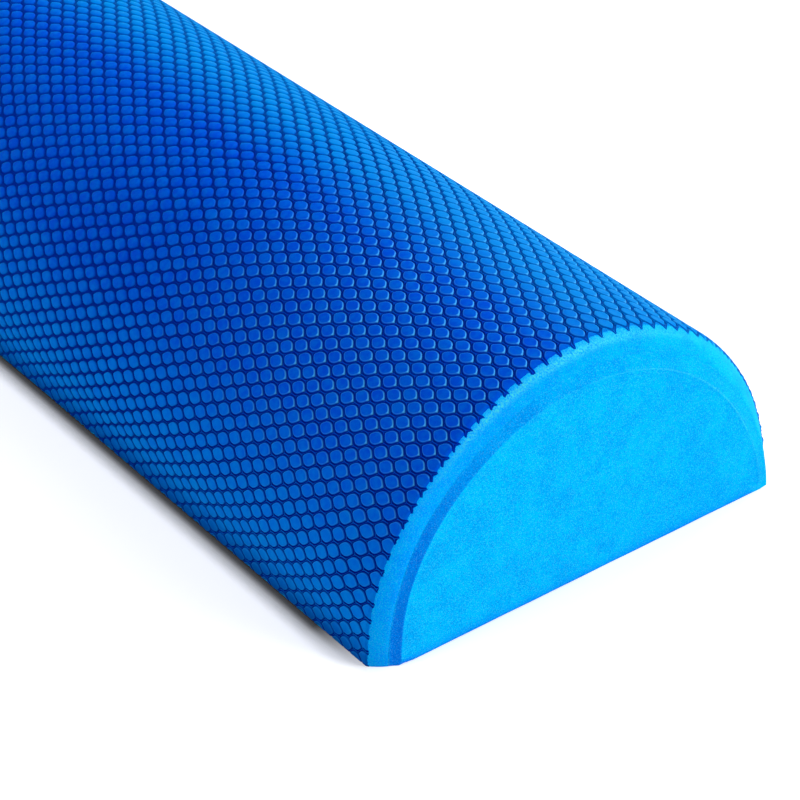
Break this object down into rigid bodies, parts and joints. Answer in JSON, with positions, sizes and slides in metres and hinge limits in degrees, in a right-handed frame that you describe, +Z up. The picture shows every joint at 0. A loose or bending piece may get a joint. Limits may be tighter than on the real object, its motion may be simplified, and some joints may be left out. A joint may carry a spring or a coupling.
{
  "type": "half round foam roller",
  "caption": "Long half round exercise roller of closed-cell foam, with an embossed dark skin on its arc and base and raised flat end faces.",
  "frame": {"origin": "on the surface the roller lies on, under the middle of its length and width", "axes": "+X along the roller, +Z up from the flat base to the top of the arc, +Y across to the right"},
  "size_m": [0.9144, 0.1522, 0.0762],
  "materials": {
    "core_foam": "bright blue closed-cell EVA foam, cut face with fine open cells, matte",
    "cover_foam": "bright blue closed-cell EVA foam, hot-rolled edge, matte",
    "embossed_skin": "dark blue EVA skin embossed with staggered rounded hexagonal pads, soft sheen"
  },
  "bodies": {
    "root": {"core": "core_foam", "cover_layer": "cover_foam", "dome_skin": "embossed_skin", "base_skin": "embossed_skin"}
  },
  "joints": []
}
